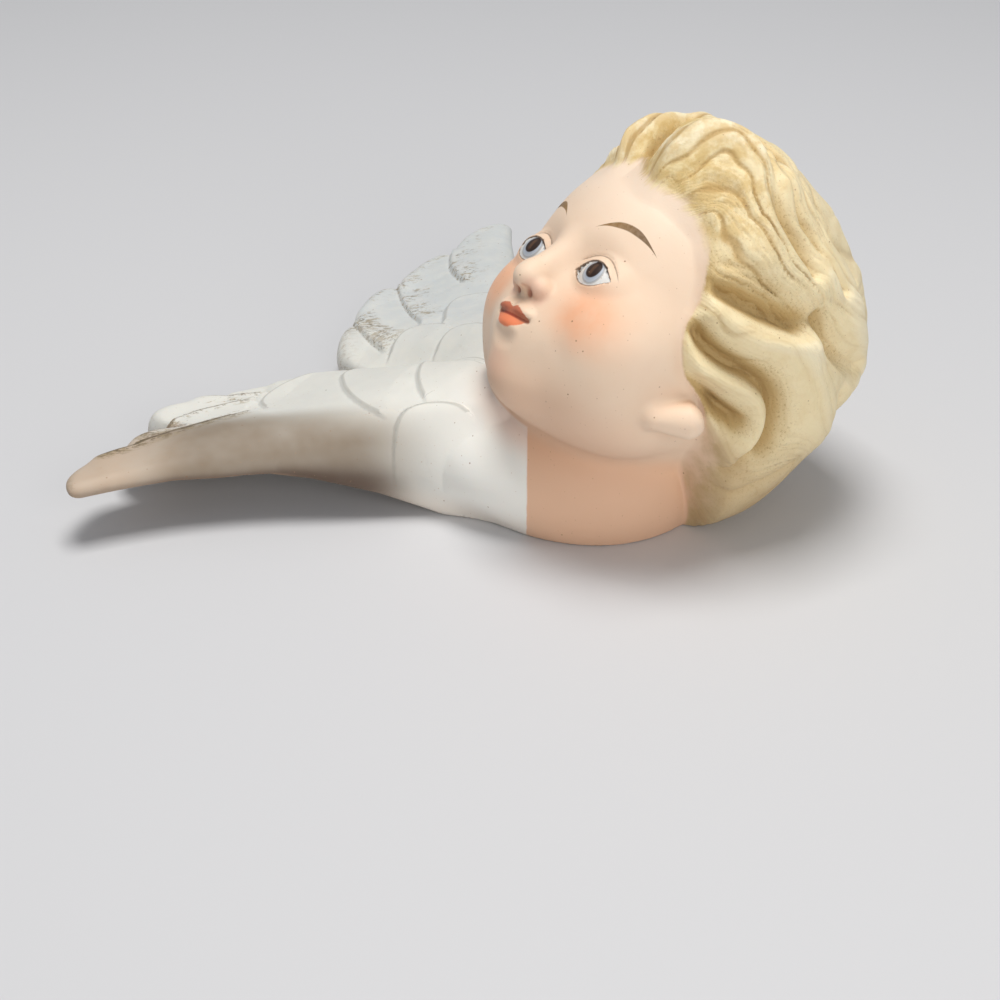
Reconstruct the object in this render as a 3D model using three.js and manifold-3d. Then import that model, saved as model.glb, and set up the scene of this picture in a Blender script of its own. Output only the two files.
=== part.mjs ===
// Cherub wall plaque: an infant's head with a swept pair of wings, moulded as one piece of bisque porcelain.
//
// Frame (millimetres): the piece lies on its flat back. z = 0 is the back face that goes against the wall and +Z
// points out of the wall. +Y is up along the wall when the plaque hangs, and the two wings mirror each other about
// the plane y = 0. They sweep out to -X, and the head leans over the back pad. The origin is the centre of the pad.
//
// The surface is one smooth field made of named ellipsoids, round-ended cones, a fan-shaped wing surface and hair
// locks, blended the way soft clay is blended. A grid is laid through the field, its zero surface is faceted,
// and every corner is then moved onto the true surface. The flat back and the nail hole are cut last.
import * as THREE from 'three';
import { mergeVertices } from 'three/addons/utils/BufferGeometryUtils.js';
import Module from 'manifold-3d';

// ------------------------------------------------------------------ driving dimensions
const HEAD_CENTRE = [8.0, 3.5, 44.5];          // middle of the skull above the pad
const FACE_DIR = [-0.373, -0.604, 0.704];      // where the face looks
const CROWN_DIR = [0.2, 0.69, 0.695];          // where the crown points
const FACE_SCALE = 0.95;                       // size of the face against the hair
const PAD = { centre: [-2, 0, 8], radii: [27, 28.5, 20] };
const CHEST = { centre: [-16, 0, 12], radii: [30, 33, 17] };
const NECK = { from: [0, -8, -6], to: [-2, 0, 10], r0: 20, r1: 22 };
const BLEND = { head: 4, neck: 6, chest: 8, wing: 6 };
const FAN = { x: 10, y: 10 };                  // the point that each wing's feathers fan out from
const NAIL_HOLE = { y: 15, radius: 4.5, depth: 12 };
const GRID = { xy: 3.65, z: 3.4, zLow: 2.4, zLowTop: 26 };

// Profiles along a wing, against the distance from the fan point
const RING = [20, 40, 55, 70, 85, 100, 112, 123];
const TOP_INNER = [31, 29, 25.5, 19.5, 13.5, 9.0, 7.0, 6.5];
const TOP_OUTER = [28, 25, 23.0, 21.5, 20.5, 19.3, 17.8, 16.4];
const UNDER_OUTER = [-6, -1, 5.5, 10.0, 12.5, 13.6, 13.6, 13.0];
const UNDER_INNER = [-6, -6, 0.5, 2.0, 3.0, 3.2, 3.2, 3.2];
const LEADING_ANGLE = [30, 31.5, 33.2, 34.2, 35.0, 36.3, 38.0, 39.8];
// Flight feathers: angle of the tip, its reach and its half width in degrees
const FEATHERS = [[36.3, 123.5, 6.0], [25.0, 115.5, 7.0], [14.0, 114.0, 8.0], [2.5, 99.5, 8.0]];
const FEATHER_STEP = 1.3;                      // how far each feather stands above the next one in
// Coverts: angle and radius of the rounded end, and half length and half width of the lobe
const COVERTS = [[24, 76, 24, 13], [8, 70, 22, 12], [27, 50, 20, 13], [9, 46, 18, 11]];
const COVERT_RISE = 1.1;

// Hair locks: height above the cap, half width, and directions from the head's centre that the lock runs through.
// A negative height is the hollow between two locks. Left, up and front are the head's own x, y and z.
const LOCKS = [
  [-1.8, 3.6, [-3, 35, 24], [2, 29, 29], [5, 21, 26]],
  [2.2, 6.5, [12, 31, 26], [21, 31, 17], [27, 24, 11], [30, 17, 15]],
  [-2.6, 3.8, [27, 9, 17], [33, 10, 11], [35, 11, 1]],
  [2.0, 4.0, [28, 5, 16], [33, 3, 8], [35, 6, -1], [35, 10, -9]],
  [-2.8, 3.6, [30, -1, 12], [33, -2, 3], [35, -1, -8], [33, -8, -16]],
  [2.0, 4.2, [28, -5, 13], [31, -6, 4], [34, -4, -7], [32, -11, -15]],
  [-2.4, 3.4, [31, -12, 7], [31, -10, -3], [32, -11, -10]],
  [-1.6, 3.5, [26, 36, 12], [30, 30, 4], [33, 25, -6], [33, 18, -16]],
  [2.2, 6.5, [30, 25, -17], [31, 16, -25], [25, 6, -33]],
  [-1.8, 3.5, [34, 16, -13], [33, 10, -24], [26, -6, -32]],
];

// ------------------------------------------------------------------ small maths
const dot = (a, b) => a[0] * b[0] + a[1] * b[1] + a[2] * b[2];
const clamp = (v, a, b) => Math.min(b, Math.max(a, v));
const unit = (a) => { const l = Math.hypot(...a); return a.map((v) => v / l); };
const cross = (a, b) => [a[1] * b[2] - a[2] * b[1], a[2] * b[0] - a[0] * b[2], a[0] * b[1] - a[1] * b[0]];
const smooth = (a, b, v) => { const t = clamp((v - a) / (b - a), 0, 1); return t * t * (3 - 2 * t); };
const union = (a, b, k) => { const h = clamp(0.5 + (0.5 * (b - a)) / k, 0, 1); return b + (a - b) * h - k * h * (1 - h); };
const common = (a, b, k) => -union(-a, -b, k);
function along(xs, ys, v) {
  if (v <= xs[0]) return ys[0];
  for (let i = 1; i < xs.length; i++) if (v <= xs[i]) return ys[i - 1] + ((ys[i] - ys[i - 1]) * (v - xs[i - 1])) / (xs[i] - xs[i - 1]);
  return ys[ys.length - 1];
}
function ellipsoid(p, c, r) {
  let a = 0, b = 0;
  for (let i = 0; i < 3; i++) { const t = (p[i] - c[i]) / r[i]; a += t * t; b += (t / r[i]) ** 2; }
  const k0 = Math.sqrt(a);
  return (k0 * (k0 - 1)) / (Math.sqrt(b) + 1e-9);
}
function cone(p, a, b, ra, rb) {
  const ba = [b[0] - a[0], b[1] - a[1], b[2] - a[2]], pa = [p[0] - a[0], p[1] - a[1], p[2] - a[2]];
  const t = clamp(dot(pa, ba) / dot(ba, ba), 0, 1);
  return Math.hypot(pa[0] - t * ba[0], pa[1] - t * ba[1], pa[2] - t * ba[2]) - (ra + (rb - ra) * t);
}

// ------------------------------------------------------------------ head
const front = unit(FACE_DIR);
const up = unit(CROWN_DIR.map((v, i) => v - front[i] * dot(CROWN_DIR, front)));
const left = cross(up, front);
const toHead = (p) => { const d = [p[0] - HEAD_CENTRE[0], p[1] - HEAD_CENTRE[1], p[2] - HEAD_CENTRE[2]]; return [dot(d, left), dot(d, up), dot(d, front)]; };
const fromHead = (q) => [0, 1, 2].map((i) => HEAD_CENTRE[i] + q[0] * left[i] + q[1] * up[i] + q[2] * front[i]);

// The skin of the head on ordinary infant proportions: full cheeks, small chin, low eye line
function skin(q0) {
  const c = [0, 3, -4];
  const q = q0.map((v, i) => (v - c[i]) / FACE_SCALE + c[i]);
  const m = [Math.abs(q[0]), q[1], q[2]];
  let s = ellipsoid(q, [0, 5, -7], [33.5, 33, 34]);                              // skull
  s = union(s, ellipsoid(q, [0, 11, 4], [29, 22, 28]), 8);                       // forehead
  s = union(s, ellipsoid(q, [0, -8, 6], [28, 26, 27]), 9);                       // face
  s = union(s, ellipsoid(m, [14.5, -13, 16.5], [13.5, 12.5, 13]), 7);            // cheeks
  s = union(s, ellipsoid(q, [0, -26, 16], [13, 9, 12]), 8);                      // jaw
  s = union(s, ellipsoid(q, [0, -29, 23], [6.5, 5.5, 6.5]), 6);                  // chin
  s = union(s, ellipsoid(q, [0, -18.3, 27], [10, 8, 7]), 6);                     // mouth
  s = union(s, ellipsoid(m, [13, -22, 8], [13, 11, 14]), 8);                     // jowls
  s = common(s, -ellipsoid(m, [12, -2, 37], [8.5, 5.5, 6.5]), 6);                // eye hollows
  s = union(s, ellipsoid(m, [12, -3, 23.8], [8.2, 6.6, 8]), 1.2);                // eyes
  s = union(s, cone(q, [0, 2, 29], [0, -8, 35], 2.2, 3.0), 4);                   // nose
  s = union(s, ellipsoid(q, [0, -10.2, 35.8], [3.6, 3.1, 3.4]), 2);
  s = union(s, ellipsoid(m, [2.6, -17.4, 33.2], [3.8, 1.7, 2]), 1.2);            // upper lip
  s = union(s, ellipsoid(q, [0, -20.9, 32.4], [4.3, 2, 2.4]), 1.2);              // lower lip
  s *= FACE_SCALE;
  return union(s, ellipsoid([Math.abs(q0[0]), q0[1], q0[2]], [27.5, -15.5, 4.5], [5.5, 7, 6]), 4);   // ear lobes
}

// How far a point lies inside the hair, measured along the head
const HAIRLINE_UP = [-60, -41, -31, -19, -12.5, -4.6, 7.0, 20.5, 32.8, 38.0, 42.0, 46.0];
const HAIRLINE_ROUND = [150, 126, 104, 84, 69, 63.5, 62.0, 57.0, 47.6, 28.0, 10.0, -25.0];
const deg = 180 / Math.PI;
function insideHair(q) {
  const r = Math.hypot(...q) + 1e-6;
  const be = deg * Math.asin(clamp(q[1] / r, -1, 1)), al = deg * Math.atan2(Math.abs(q[0]), q[2]);
  const line = along(HAIRLINE_UP, HAIRLINE_ROUND, be) + 22 * smooth(2, -8, q[0]) * smooth(20, 38, be);
  return ((al - line) / deg) * 34 * Math.cos(clamp(be, -70, 70) / deg);
}
const lockLines = LOCKS.map(([h, w, ...pts]) => ({ h, w, pts: pts.map((v) => unit(v).map((c) => c * 36)) }));
function locks(q) {
  const u = unit(q).map((c) => c * 36);
  let d = 0;
  for (const { h, w, pts } of lockLines) {
    let best = 1e9;
    for (let i = 1; i < pts.length; i++) best = Math.min(best, cone(u, pts[i - 1], pts[i], 0, 0));
    d += h * Math.exp(-((best / w) ** 2));
  }
  return d;
}
function hair(q) {
  let h = ellipsoid(q, [0, 8, -8.5], [36, 33, 39.5]);                            // cap
  h = union(h, ellipsoid(q, [6, 16, 6], [27, 27.5, 27.5]), 7);                     // brushed-up front
  h = union(h, ellipsoid(q, [2, -9, -19], [29, 29, 27]), 8);                     // nape
  h -= locks(q);
  return common(h, -insideHair(q) * 0.7, 2);
}

// ------------------------------------------------------------------ wings
function reach(th) {
  let r = null;
  for (const [c, len, w] of FEATHERS) {
    const v = len - 7 * Math.abs((th - c) / w) ** 2.2;
    r = r === null ? v : -union(-r, -v, 1.2);
  }
  return r;
}
// Each feather is highest at its inner edge, and the next one comes out from under it
function feathering(r, th) {
  const edges = [[29.7, 27], [19.6, 17.5], [7.6, 8.5]].map(([outer, inner]) => inner + (outer - inner) * smooth(60, 112, r));
  let k = 0;
  for (const e of edges) k += smooth(-1.1, 1.1, th - e) - 0.5 * (smooth(-9, -1, th - e) + smooth(-1, 1, th - e));
  return FEATHER_STEP * k * smooth(58, 74, r);
}
function covering(x, y) {
  let best = -1e9;
  for (const [th, r, a, b] of COVERTS) {
    const t = th / deg, cx = FAN.x - (r - a) * Math.cos(t), cy = FAN.y + (r - a) * Math.sin(t);
    const dx = -(x - cx), dy = Math.abs(y) - cy;
    const u = (dx * Math.cos(t) + dy * Math.sin(t)) / a, v = (-dx * Math.sin(t) + dy * Math.cos(t)) / b;
    best = Math.max(best, 1 - Math.hypot(Math.max(u, 0), v));
  }
  return COVERT_RISE * smooth(-0.02, 0.12, best);
}
function wing(p) {
  const [x, y, z] = p;
  const u = FAN.x - x, v = Math.abs(y) - FAN.y;
  const r = Math.hypot(u, v), th = deg * Math.atan2(v, u);
  const lead = along(RING, LEADING_ANGLE, r), t = th / lead, s = smooth(0.3, 0.92, t);
  let top = along(RING, TOP_INNER, r) * (1 - s) + along(RING, TOP_OUTER, r) * s;
  top -= along([40, 60, 90, 123], [10, 8, 6, 1.5], r) * clamp((t - 0.72) / 0.28, 0, 1.3) ** 2;   // rolls over to the leading edge
  top -= along([20, 40, 70, 100], [3, 8, 7, 2], r) * Math.exp(-((y / 8) ** 2));                  // valley between the wings
  let under = along(RING, UNDER_INNER, r) * (1 - s) + along(RING, UNDER_OUTER, r) * s;
  under = Math.min(under, top - 3.8);
  top += feathering(r, th) + covering(x, y) - 0.6;
  const outline = common(((th - lead) / deg) * r * 0.97, (r - reach(th)) * 0.9, 2);
  return common(common((z - top) * 0.9, outline, 3.5), (under - z) * 0.95, 3.5);
}

// ------------------------------------------------------------------ the whole piece, before the back is cut flat
const neckTop = fromHead(NECK.from);
function plaque(p) {
  const q = toHead(p);
  const head = union(skin(q), hair(q), 1.5);
  let body = union(ellipsoid(p, PAD.centre, PAD.radii), cone(p, neckTop, NECK.to, NECK.r0, NECK.r1), BLEND.neck);
  body = union(body, ellipsoid(p, CHEST.centre, CHEST.radii), BLEND.chest);
  body = union(body, wing(p), BLEND.wing);
  return Math.max(union(head, body, BLEND.head), -4 - p[2]);                     // closed a little below the wall face
}

function lines(from, to, step) {
  const n = Math.ceil((to - from) / step);
  return Array.from({ length: n + 1 }, (_, i) => from + ((to - from) * i) / n);
}
function facet(field) {
  const X = lines(-110, 58, GRID.xy), Y = lines(-94, 94, GRID.xy);
  const Z = [...lines(-8, GRID.zLowTop, GRID.zLow), ...lines(GRID.zLowTop, 97, GRID.z).slice(1)];
  const nx = X.length, ny = Y.length, nz = Z.length, id = (i, j, k) => (i * ny + j) * nz + k;
  const F = new Float64Array(nx * ny * nz);
  for (let i = 0; i < nx; i++) for (let j = 0; j < ny; j++) for (let k = 0; k < nz; k++) F[id(i, j, k)] = field([X[i], Y[j], Z[k]]);
  // Where the four corners of a grid face alternate, the weakest changes side, so that the facets form one closed skin
  for (let pass = 0, changed = 1; changed && pass < 20; pass++) {
    changed = 0;
    for (let i = 1; i < nx - 1; i++) for (let j = 1; j < ny - 1; j++) for (let k = 1; k < nz - 1; k++) {
      for (const [a, b] of [[[1, 0, 0], [0, 1, 0]], [[0, 1, 0], [0, 0, 1]], [[0, 0, 1], [1, 0, 0]]]) {
        const ring = [id(i, j, k), id(i + a[0], j + a[1], k + a[2]), id(i + a[0] + b[0], j + a[1] + b[1], k + a[2] + b[2]), id(i + b[0], j + b[1], k + b[2])];
        const inside = ring.map((n) => F[n] < 0);
        if (inside[0] !== inside[2] || inside[1] !== inside[3] || inside[0] === inside[1]) continue;
        const weak = ring.reduce((m, n) => (Math.abs(F[n]) < Math.abs(F[m]) ? n : m));
        F[weak] = F[weak] < 0 ? 0.01 : -0.01;
        changed++;
      }
    }
  }
  const cell = new Int32Array(nx * ny * nz).fill(-1), verts = [], tris = [];
  const corners = [0, 1, 2, 3, 4, 5, 6, 7].map((c) => [c & 1, (c >> 1) & 1, (c >> 2) & 1]);
  const edges = [];
  for (const a of corners) for (let k = 0; k < 3; k++) if (!a[k]) { const b = [...a]; b[k] = 1; edges.push([a, b]); }
  for (let i = 0; i < nx - 1; i++) for (let j = 0; j < ny - 1; j++) for (let k = 0; k < nz - 1; k++) {
    let n = 0; const sum = [0, 0, 0];
    for (const [a, b] of edges) {
      const fa = F[id(i + a[0], j + a[1], k + a[2])], fb = F[id(i + b[0], j + b[1], k + b[2])];
      if ((fa < 0) === (fb < 0)) continue;
      const t = fa / (fa - fb); n++;
      sum[0] += X[i + a[0]] + t * (X[i + b[0]] - X[i + a[0]]);
      sum[1] += Y[j + a[1]] + t * (Y[j + b[1]] - Y[j + a[1]]);
      sum[2] += Z[k + a[2]] + t * (Z[k + b[2]] - Z[k + a[2]]);
    }
    if (n) { cell[id(i, j, k)] = verts.length; verts.push(sum.map((v) => v / n)); }
  }
  for (let i = 1; i < nx - 1; i++) for (let j = 1; j < ny - 1; j++) for (let k = 1; k < nz - 1; k++) {
    const f0 = F[id(i, j, k)] < 0;
    const around = [
      [F[id(i + 1, j, k)] < 0, [[i, j - 1, k - 1], [i, j, k - 1], [i, j, k], [i, j - 1, k]]],
      [F[id(i, j + 1, k)] < 0, [[i - 1, j, k - 1], [i - 1, j, k], [i, j, k], [i, j, k - 1]]],
      [F[id(i, j, k + 1)] < 0, [[i - 1, j - 1, k], [i, j - 1, k], [i, j, k], [i - 1, j, k]]],
    ];
    for (const [f1, cells] of around) {
      if (f0 === f1) continue;
      let q = cells.map(([a, b, c]) => cell[id(a, b, c)]);
      if (!f0) q = q.reverse();
      const d = (m, n) => Math.hypot(...verts[m].map((v, w) => v - verts[n][w]));
      if (d(q[0], q[2]) <= d(q[1], q[3])) tris.push([q[0], q[1], q[2]], [q[0], q[2], q[3]]);
      else tris.push([q[0], q[1], q[3]], [q[1], q[2], q[3]]);
    }
  }
  const h = 0.1;
  for (let pass = 0; pass < 4; pass++) for (const v of verts) {                  // move every corner onto the surface
    const f = field(v), g = [0, 1, 2].map((a) => { const w = [...v]; w[a] += h; return (field(w) - f) / h; });
    const step = clamp(f / (dot(g, g) + 1e-6), -0.8, 0.8);
    for (let a = 0; a < 3; a++) v[a] -= step * g[a];
  }
  return { verts, tris };
}

// ------------------------------------------------------------------ solids, joined and cut
const wasm = await Module();
wasm.setup();
const solidOf = (vertProperties, triVerts) => new wasm.Manifold(new wasm.Mesh({ numProp: 3, vertProperties, triVerts }));
function solidFrom(geometry) {
  let g = geometry.clone();
  g.deleteAttribute('normal'); g.deleteAttribute('uv');
  g = mergeVertices(g, 1e-5);
  return solidOf(new Float32Array(g.attributes.position.array), new Uint32Array(g.index.array));
}
const cast = facet(plaque);
let solid = solidOf(new Float32Array(cast.verts.flat()), new Uint32Array(cast.tris.flat()));

const wallSide = new THREE.BoxGeometry(400, 400, 40);
wallSide.translate(0, 0, -20);
solid = solid.subtract(solidFrom(wallSide));                                     // flat back

const hole = new THREE.CylinderGeometry(NAIL_HOLE.radius, NAIL_HOLE.radius, 2 * NAIL_HOLE.depth, 20);
hole.rotateX(Math.PI / 2);
hole.translate(0, NAIL_HOLE.y, 0);
solid = solid.subtract(solidFrom(hole));                                         // blind hole that hooks over a nail

const { vertProperties, triVerts } = solid.getMesh();
const geometry = new THREE.BufferGeometry();
geometry.setAttribute('position', new THREE.BufferAttribute(new Float32Array(vertProperties), 3));
geometry.setIndex(new THREE.BufferAttribute(new Uint32Array(triVerts), 1));
geometry.computeVertexNormals();

const bisque = new THREE.MeshStandardMaterial({ color: 0xeadfcf, roughness: 0.62, metalness: 0 });
const mesh = new THREE.Mesh(geometry, bisque);
mesh.name = 'cherub_plaque';

const part = new THREE.Group();
part.name = 'cherub_wall_plaque';
part.add(mesh);
export default part;
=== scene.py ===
# Cherub wall plaque, lying on its flat back: the painted bisque surface, a pale studio floor, lights and camera.
#
# The surface is one field in millimetres, the same one as the solid's, with the finer carving added: lids, lips,
# hair strands, feather edges and covert lines. It is faceted on a fine grid, moved onto the true surface and thinned.
# Measures that the paint and the painted shade follow are stored on the corners, and the material draws with them.
import math

import bpy
import numpy as np
from mathutils import Matrix, Vector


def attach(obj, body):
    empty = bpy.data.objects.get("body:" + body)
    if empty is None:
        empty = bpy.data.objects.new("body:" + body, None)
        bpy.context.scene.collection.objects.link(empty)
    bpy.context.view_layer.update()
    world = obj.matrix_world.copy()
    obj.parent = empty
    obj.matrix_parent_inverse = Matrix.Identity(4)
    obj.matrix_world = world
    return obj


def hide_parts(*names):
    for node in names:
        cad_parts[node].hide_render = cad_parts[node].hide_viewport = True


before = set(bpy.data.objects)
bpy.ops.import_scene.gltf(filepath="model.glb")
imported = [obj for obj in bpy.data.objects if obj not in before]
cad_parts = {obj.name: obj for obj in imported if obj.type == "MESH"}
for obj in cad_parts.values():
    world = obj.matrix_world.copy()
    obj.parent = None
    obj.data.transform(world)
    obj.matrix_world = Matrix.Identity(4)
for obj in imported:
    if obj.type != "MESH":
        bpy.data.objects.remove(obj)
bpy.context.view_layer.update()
F4 = np.float32

# ------------------------------------------------------------------ dimensions, in millimetres
GRID = 0.56
MOST_FACES = 196000
HEAD_CENTRE = np.array([8.0, 3.5, 44.5])
FACE_DIR = np.array([-0.373, -0.604, 0.704])
CROWN_DIR = np.array([0.2, 0.69, 0.695])
FACE_SCALE = 0.95
FACE_MID = np.array([0.0, 3.0, -4.0])
FAN = (10.0, 10.0)
NAIL_HOLE = (0.0, 15.0, 4.5, 12.0)
RING = [20, 40, 55, 70, 85, 100, 112, 123]
TOP_INNER = [31, 29, 25.5, 19.5, 14.0, 11.5, 11.5, 10.5]
TOP_OUTER = [28, 25, 23.0, 21.5, 20.5, 19.3, 17.8, 16.4]
UNDER_OUTER = [-6, -1, 5.5, 10.0, 12.5, 13.6, 13.6, 13.0]
UNDER_INNER = [-6, -6, 0.5, 2.0, 3.0, 3.2, 3.2, 3.2]
LEADING_ANGLE = [30, 31.5, 33.2, 34.2, 35.0, 36.3, 38.0, 39.8]
# Outline of each feather's end, as (angle in degrees, reach) round the fan's centre
NEAR_TIPS = [
    [(26, 98), (28, 107), (30.2, 114.8), (31.6, 118.2), (32.9, 121.0), (35.2, 123.4), (36.8, 124.2), (38.6, 123.4), (41, 119)],
    [(19, 96), (21, 106), (22.6, 111.5), (24.1, 114.0), (26.0, 115.8), (27.4, 116.2), (28.6, 115.4), (29.8, 111), (31, 100)],
    [(9.5, 96), (11.5, 105.2), (13.1, 109.2), (14.5, 112), (15.6, 114), (16.9, 115.8), (18.4, 116.4), (19.6, 115), (20.8, 111), (22, 100)],
    [(-20, 62), (-12, 72), (-6, 78), (-2, 83), (1, 87), (3.6, 91.7), (5.7, 96.7), (7.4, 101.0), (8.9, 104.0), (10.2, 105.3), (11.4, 105.3), (12.6, 101), (14, 90)],
]
FAR_TIPS = [
    [(26, 102), (28, 110), (29.8, 115.4), (32.1, 120.2), (34.2, 123.2), (36.2, 124.6), (38.0, 124.2), (40, 121), (42, 116)],
    [(16, 98), (17.4, 105.5), (19.1, 109.4), (21.8, 113.6), (24.5, 116.6), (26.8, 118.0), (28.2, 117.6), (29.4, 115.5), (30.6, 108)],
    [(3.5, 92), (5.4, 99.0), (8.6, 103.8), (11.8, 107.2), (14.2, 109.3), (16.2, 110.0), (17.6, 109.3), (18.6, 106.5), (19.8, 99)],
    [(-20, 64), (-12, 78), (-8, 85), (-5, 90.5), (-2, 94.8), (0.5, 97.4), (3.0, 99.4), (4.6, 99.5), (5.6, 98), (6.8, 91)],
]
# Steps in the top, seen in plan: kind (0 feather, 1 covert), proud side (1 left of the path), height, path
STEPS = [
    (0, -1, 2.4, [(-93.3, -75.2), (-90.3, -69.7), (-87, -64.2), (-84, -58.2), (-81, -51.7), (-78, -45.7), (-75, -40.6), (-72.2, -35.8)]),
    (0, -1, 2.2, [(-97, -60), (-93, -52), (-91, -45), (-88.5, -39), (-85, -34), (-81, -31), (-77, -30.6)]),
    (0, -1, 1.8, [(-98, -35), (-93, -31.8), (-89.2, -29.7), (-85, -27), (-79, -24)]),
    (0, 1, 1.2, [(-97, 74), (-90.5, 66.3), (-86, 59), (-81.5, 53), (-76, 48), (-69, 43)]),
    (0, 1, 1.1, [(-98, 48), (-92.3, 43), (-88.1, 38.6), (-82.5, 32.7), (-76, 27), (-69, 21.5), (-65, 17)]),
    (0, 1, 1.0, [(-96, 22), (-89.5, 19), (-85, 15.6), (-79.5, 12), (-73.7, 8.8), (-67.8, 6)]),
    (1, 1, 0.7, [(-74, -9), (-77, -14), (-78.8, -19.3), (-79.6, -24.2), (-79.1, -28.5), (-77.3, -31.8), (-73.5, -34.4), (-70, -35.6)]),
    (1, 1, 0.65, [(-46, -5.5), (-51.5, -5), (-57, -6), (-61, -7.8), (-64.4, -10), (-65.8, -13.2), (-64.6, -16.6), (-61.6, -20), (-57.2, -24.6),
                 (-50.8, -29.8), (-45, -32.8), (-40.3, -33.8), (-36.6, -33.4)]),
    (1, 1, 0.6, [(-46.4, -5.6), (-44.8, -10), (-42.2, -15.4), (-39.4, -20), (-36.3, -23.4), (-33.2, -25.7), (-30.5, -27)]),
    (1, -1, 1.3, [(-50, -6.5), (-46.4, -5.6), (-41.4, -4.8), (-36, -6.1), (-30, -8.4), (-24, -12)]),
    (1, -1, 1.1, [(-51, -3), (-47.4, -1.2), (-44.8, -0.2), (-40.4, -0.2), (-34.9, -1.9), (-29.7, -4.9), (-26, -8)]),
    (1, -1, 0.75, [(-31.5, -39), (-33.6, -37), (-34.9, -34.6), (-35.3, -32.2), (-34.7, -29.7), (-32.7, -27.4), (-29.3, -25.7), (-25.4, -24.7),
                  (-22, -24.6), (-18, -25.6)]),
    (1, -1, 0.9, [(-57.5, 15), (-59.6, 19), (-62.4, 23), (-65.2, 27.5), (-67, 32), (-66, 35.2), (-62, 36.6), (-57, 37.4), (-50, 37)]),
    (1, -1, 1.0, [(-65, 2), (-66.4, 5), (-67.6, 8), (-67.8, 11.6), (-66.4, 15), (-63, 16.6), (-57.6, 16), (-52.8, 13.4)]),
    (1, -1, 1.0, [(-51, 2), (-52.4, 5), (-53.3, 8.6), (-52.2, 12), (-48.8, 13.5), (-42.2, 13.0), (-34, 12)]),
]


# ------------------------------------------------------------------ small maths
def smin(a, b, k):
    h = np.clip(0.5 + 0.5 * (b - a) / k, 0, 1)
    return b + (a - b) * h - k * h * (1 - h)


def smax(a, b, k):
    return -smin(-a, -b, k)


def step(a, b, x):
    t = np.clip((x - a) / (b - a), 0, 1)
    return t * t * (3 - 2 * t)


def ell(p, c, r):
    r = np.asarray(r, F4)
    a = (p - np.asarray(c, F4)) / r
    k0 = np.sqrt((a * a).sum(-1))
    b = a / r
    return k0 * (k0 - 1) / (np.sqrt((b * b).sum(-1)) + 1e-9)


def cone(p, a, b, ra, rb):
    a = np.asarray(a, F4)
    ba = np.asarray(b, F4) - a
    t = np.clip(((p - a) @ ba) / (ba @ ba), 0, 1)
    d = p - a - t[:, None] * ba
    return np.sqrt((d * d).sum(-1)) - (ra + (rb - ra) * t)


def head_axes():
    f = FACE_DIR / np.linalg.norm(FACE_DIR)
    u = CROWN_DIR - f * (CROWN_DIR @ f)
    u /= np.linalg.norm(u)
    return np.array([np.cross(u, f), u, f])


HEAD = head_axes()      # rows: the head's left, up and front


def to_head(p):
    return (p - HEAD_CENTRE.astype(F4)) @ HEAD.T.astype(F4)


# ------------------------------------------------------------------ hair
# The hair's edge, all the way round: down the near side from the parting, round the nape, and up the far side
HAIRLINE = [
    (4.3, 21.9, 25.6), (9.5, 19.3, 26.2), (12.5, 20.6, 24.4), (16.6, 19.4, 22.3), (20.2, 18.1, 20.4), (23.6, 16.8, 18.6),
    (25.3, 12.5, 17.4), (28.6, 7.5, 16.4), (28.6, 2.9, 14.6), (27.6, -0.7, 14.5), (28.1, -5.0, 12.3), (28.8, -8.0, 9.9),
    (30.6, -10.8, 7.5), (32.1, -11.9, 3.6), (30.8, -13.0, -1.5), (29.0, -15.5, -6.4), (26.4, -18.6, -11.8), (25.4, -21.8, -15.6),
    (21.9, -28.2, -22.6), (14.6, -32.6, -28.0), (0.0, -34.0, -28.0), (-14.0, -32.0, -22.0), (-22.0, -24.0, -14.0), (-28.0, -16.0, -5.0),
    (-31.0, -12.0, 3.0), (-29.8, -8.0, 10.0), (-28.6, -3.0, 14.0), (-29.0, 3.5, 15.0), (-27.0, 10.5, 17.5), (-23.5, 16.5, 19.5),
    (-18.5, 20.0, 21.5), (-13.5, 21.5, 24.0), (-9.5, 23.8, 25.0), (-6.5, 21.8, 27.0), (-3.2, 23.8, 26.0), (-0.5, 25.8, 24.8), (1.8, 24.5, 25.2),
]

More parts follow.
